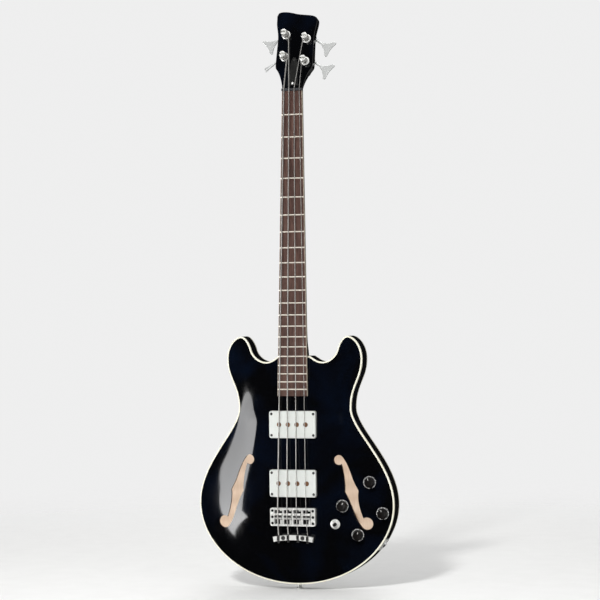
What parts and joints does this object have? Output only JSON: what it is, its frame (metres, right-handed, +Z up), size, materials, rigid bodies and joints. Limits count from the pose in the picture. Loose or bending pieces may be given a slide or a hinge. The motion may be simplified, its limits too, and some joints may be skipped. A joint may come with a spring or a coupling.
{
  "type": "electric bass guitar",
  "caption": "Semi-hollow electric bass guitar: bound arched body with f-holes, set neck, open worm tuners, covered pickups, bridge with sliding saddles, turning knobs and a toggle switch",
  "frame": {"origin": "centre of the flat outer face of the end strap button, on the instrument's centre line, at mid depth of the rim", "axes": "+Z up the instrument towards the headstock, +X towards the treble side, -Y out of the front, +Y out of the back"},
  "size_m": [0.413, 0.106, 1.1812],
  "materials": {
    "lacquered_wood": "gloss black lacquer",
    "binding": "gloss cream",
    "maple": "plain",
    "rosewood": "oiled, dark brown",
    "chrome": "polished",
    "steel": "wound wire and plain steel",
    "black_plastic": "black",
    "coil": "wound wire and pole pieces",
    "switch_metal": "dull metal"
  },
  "bodies": {
    "instrument": {"body_top": "lacquered_wood", "body_back": "lacquered_wood", "rim_bass": "lacquered_wood", "rim_treble": "lacquered_wood", "centre_block": "maple", "binding_front": "binding", "binding_back": "binding", "neck": "lacquered_wood", "headstock_faceplate": "lacquered_wood", "fretboard": "rosewood", "nut": "black_plastic", "truss_rod": "steel", "truss_rod_cover": "black_plastic", "tuner_plate_1": "chrome", "tuner_plate_2": "chrome", "tuner_plate_3": "chrome", "tuner_plate_4": "chrome", "tuner_bushing_1": "chrome", "tuner_bushing_2": "chrome", "tuner_bushing_3": "chrome", "tuner_bushing_4": "chrome", "string_1": "steel", "string_2": "steel", "string_3": "steel", "string_4": "steel", "bridge_base": "chrome", "tailpiece": "chrome", "tailpiece_post_bass": "chrome", "tailpiece_post_treble": "chrome", "pickup_cover_neck": "chrome", "pickup_cover_bridge": "chrome", "pickup_coil_neck": "coil", "pickup_coil_bridge": "coil", "potentiometer_1": "switch_metal", "potentiometer_2": "switch_metal", "potentiometer_3": "switch_metal", "potentiometer_4": "switch_metal", "switch_body": "black_plastic", "switch_ring": "chrome", "jack_plate": "chrome", "jack_socket": "chrome", "strap_button_end": "chrome", "strap_button_upper": "chrome"},
    "key_1": {"tuner_key_1": "chrome"},
    "post_1": {"tuner_post_1": "chrome"},
    "key_2": {"tuner_key_2": "chrome"},
    "post_2": {"tuner_post_2": "chrome"},
    "key_3": {"tuner_key_3": "chrome"},
    "post_3": {"tuner_post_3": "chrome"},
    "key_4": {"tuner_key_4": "chrome"},
    "post_4": {"tuner_post_4": "chrome"},
    "knob_1": {"knob_1": "black_plastic"},
    "knob_2": {"knob_2": "black_plastic"},
    "knob_3": {"knob_3": "black_plastic"},
    "knob_4": {"knob_4": "black_plastic"},
    "switch_lever": {"switch_lever": "black_plastic"},
    "saddle_1": {"saddle_1": "chrome"},
    "saddle_2": {"saddle_2": "chrome"},
    "saddle_3": {"saddle_3": "chrome"},
    "saddle_4": {"saddle_4": "chrome"}
  },
  "joints": [
    {"name": "key_1_turn", "type": "hinge", "parent": "instrument", "child": "key_1", "pos_m": [-0.02818, 0.03432, 1.08881], "axis": [-0.8192, -0.151, -0.5533], "continuous": true},
    {"name": "post_1_turn", "type": "hinge", "parent": "instrument", "child": "post_1", "pos_m": [-0.0213, 0.01254, 1.08456], "axis": [0, -0.9647, 0.2633], "continuous": true},
    {"name": "key_2_turn", "type": "hinge", "parent": "instrument", "child": "key_2", "pos_m": [-0.02818, 0.04709, 1.1356], "axis": [-0.8192, -0.151, -0.5533], "continuous": true},
    {"name": "post_2_turn", "type": "hinge", "parent": "instrument", "child": "post_2", "pos_m": [-0.0213, 0.02531, 1.13135], "axis": [0, -0.9647, 0.2633], "continuous": true},
    {"name": "key_3_turn", "type": "hinge", "parent": "instrument", "child": "key_3", "pos_m": [0.02988, 0.04446, 1.12595], "axis": [0.8192, -0.151, -0.5533], "continuous": true},
    {"name": "post_3_turn", "type": "hinge", "parent": "instrument", "child": "post_3", "pos_m": [0.023, 0.02267, 1.1217], "axis": [0, -0.9647, 0.2633], "continuous": true},
    {"name": "key_4_turn", "type": "hinge", "parent": "instrument", "child": "key_4", "pos_m": [0.02988, 0.03156, 1.07868], "axis": [0.8192, -0.151, -0.5533], "continuous": true},
    {"name": "post_4_turn", "type": "hinge", "parent": "instrument", "child": "post_4", "pos_m": [0.023, 0.00977, 1.07443], "axis": [0, -0.9647, 0.2633], "continuous": true},
    {"name": "knob_1_turn", "type": "hinge", "parent": "instrument", "child": "knob_1", "pos_m": [0.157, -0.02442, 0.22], "axis": [0.1512, -0.9868, 0.0582], "range_deg": [-150, 150]},
    {"name": "knob_2_turn", "type": "hinge", "parent": "instrument", "child": "knob_2", "pos_m": [0.103, -0.03457, 0.173], "axis": [0.0648, -0.9979, -0.0053], "range_deg": [-150, 150]},
    {"name": "knob_3_turn", "type": "hinge", "parent": "instrument", "child": "knob_3", "pos_m": [0.183, -0.0221, 0.158], "axis": [0.1012, -0.9948, -0.0148], "range_deg": [-150, 150]},
    {"name": "knob_4_turn", "type": "hinge", "parent": "instrument", "child": "knob_4", "pos_m": [0.132, -0.02636, 0.115], "axis": [0.1439, -0.9832, -0.1123], "range_deg": [-150, 150]},
    {"name": "switch_lever_tilt", "type": "hinge", "parent": "instrument", "child": "switch_lever", "pos_m": [0.08688, -0.03202, 0.13615], "axis": [0.9981, 0.0618, 0.0023], "range_deg": [-12, 12]},
    {"name": "saddle_1_slide", "type": "slide", "parent": "instrument", "child": "saddle_1", "axis": [0, 0, 1], "range_m": [0, 0.004]},
    {"name": "saddle_2_slide", "type": "slide", "parent": "instrument", "child": "saddle_2", "axis": [0, 0, 1], "range_m": [0, 0.004]},
    {"name": "saddle_3_slide", "type": "slide", "parent": "instrument", "child": "saddle_3", "axis": [0, 0, 1], "range_m": [0, 0.004]},
    {"name": "saddle_4_slide", "type": "slide", "parent": "instrument", "child": "saddle_4", "axis": [0, 0, 1], "range_m": [0, 0.004]}
  ],
  "couplings": [
    {"joint": "post_1_turn", "follows": "key_1_turn", "ratio": -0.05},
    {"joint": "post_2_turn", "follows": "key_2_turn", "ratio": -0.05},
    {"joint": "post_3_turn", "follows": "key_3_turn", "ratio": 0.05},
    {"joint": "post_4_turn", "follows": "key_4_turn", "ratio": 0.05}
  ]
}
